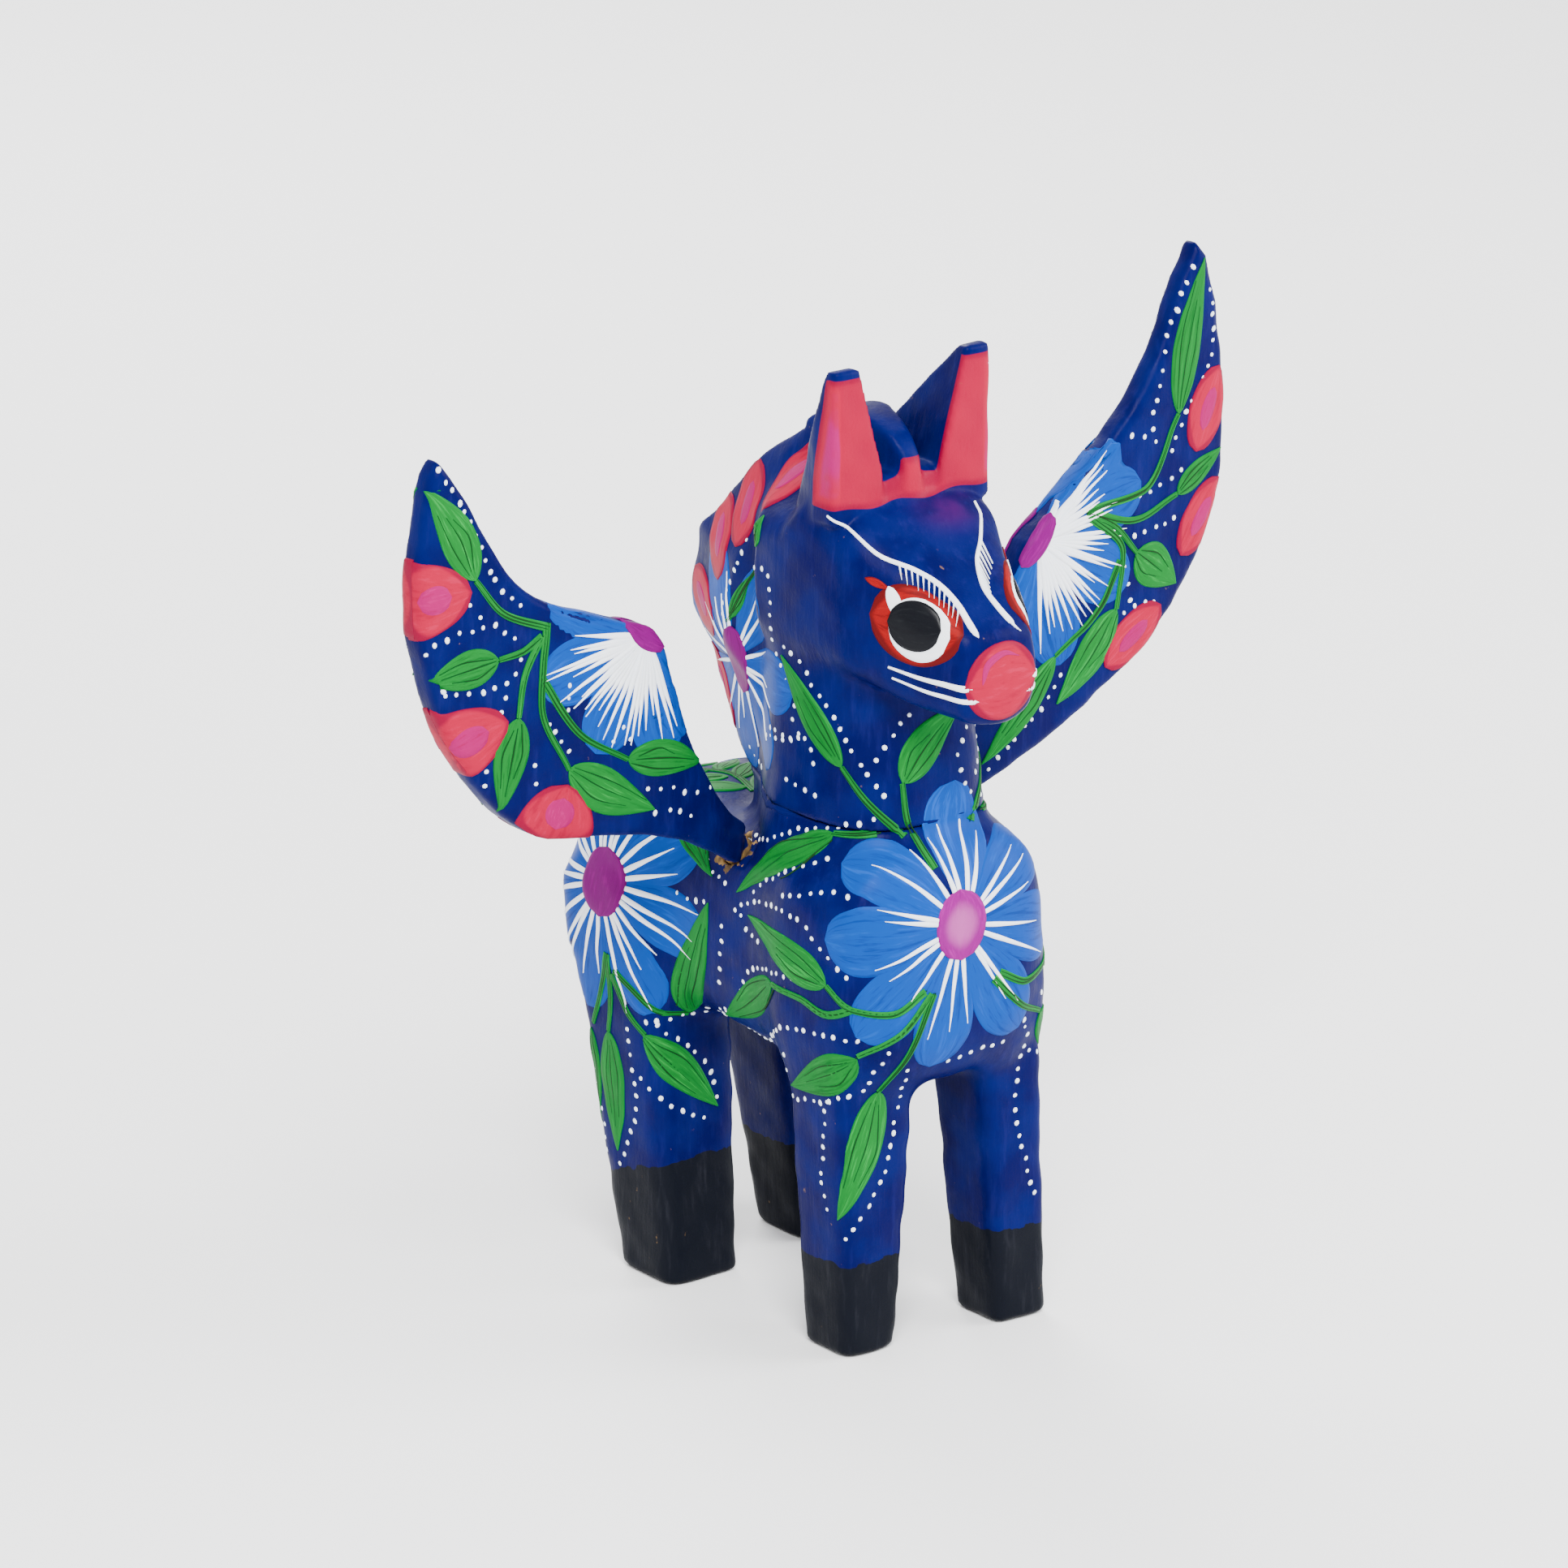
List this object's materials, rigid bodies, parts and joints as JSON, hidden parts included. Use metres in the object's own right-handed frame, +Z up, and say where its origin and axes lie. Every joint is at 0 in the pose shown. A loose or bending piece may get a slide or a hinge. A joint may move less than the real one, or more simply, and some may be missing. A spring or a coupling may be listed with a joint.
{
  "type": "carved winged horse figure",
  "caption": "Hand-carved, hand-painted wooden winged horse figurine that stands on its hooves; wings and tail plug in on pegs.",
  "frame": {"origin": "on the floor, under the middle of the figure's box", "axes": "+Z up; the horse looks along -Y; its own left side is +X"},
  "size_m": [0.1322, 0.0844, 0.1352],
  "materials": {
    "painted_wood": "ultramarine acrylic paint, satin varnish",
    "painted_wing": "ultramarine acrylic paint, satin varnish",
    "painted_tail": "coral and ultramarine acrylic paint, satin varnish",
    "filler": "glue and sawdust filler, painted over",
    "raw_wood": "bare whittled softwood",
    "hoof_paint": "black satin paint",
    "coral_paint": "coral pink satin paint",
    "petal_paint": "sky blue satin paint",
    "leaf_paint": "leaf green satin paint",
    "white_paint": "white satin paint",
    "magenta_paint": "magenta satin paint",
    "red_paint": "red satin paint"
  },
  "bodies": {
    "figure": {"body_block": "painted_wood", "head_and_neck": "painted_wood", "neck_dowel": "raw_wood", "neck_filler": "filler"},
    "right_wing": {"wing_right": "painted_wing"},
    "left_wing": {"wing_left": "painted_wing"},
    "tail_piece": {"tail": "painted_tail"}
  },
  "joints": [
    {"name": "right_wing_pull", "type": "slide", "parent": "figure", "child": "right_wing", "axis": [-0.7071, 0, 0.7071], "range_m": [0, 0.014]},
    {"name": "left_wing_pull", "type": "slide", "parent": "figure", "child": "left_wing", "axis": [0.7071, 0, 0.7071], "range_m": [0, 0.014]},
    {"name": "tail_pull", "type": "slide", "parent": "figure", "child": "tail_piece", "axis": [0, 0.866, 0.5], "range_m": [0, 0.014]}
  ]
}
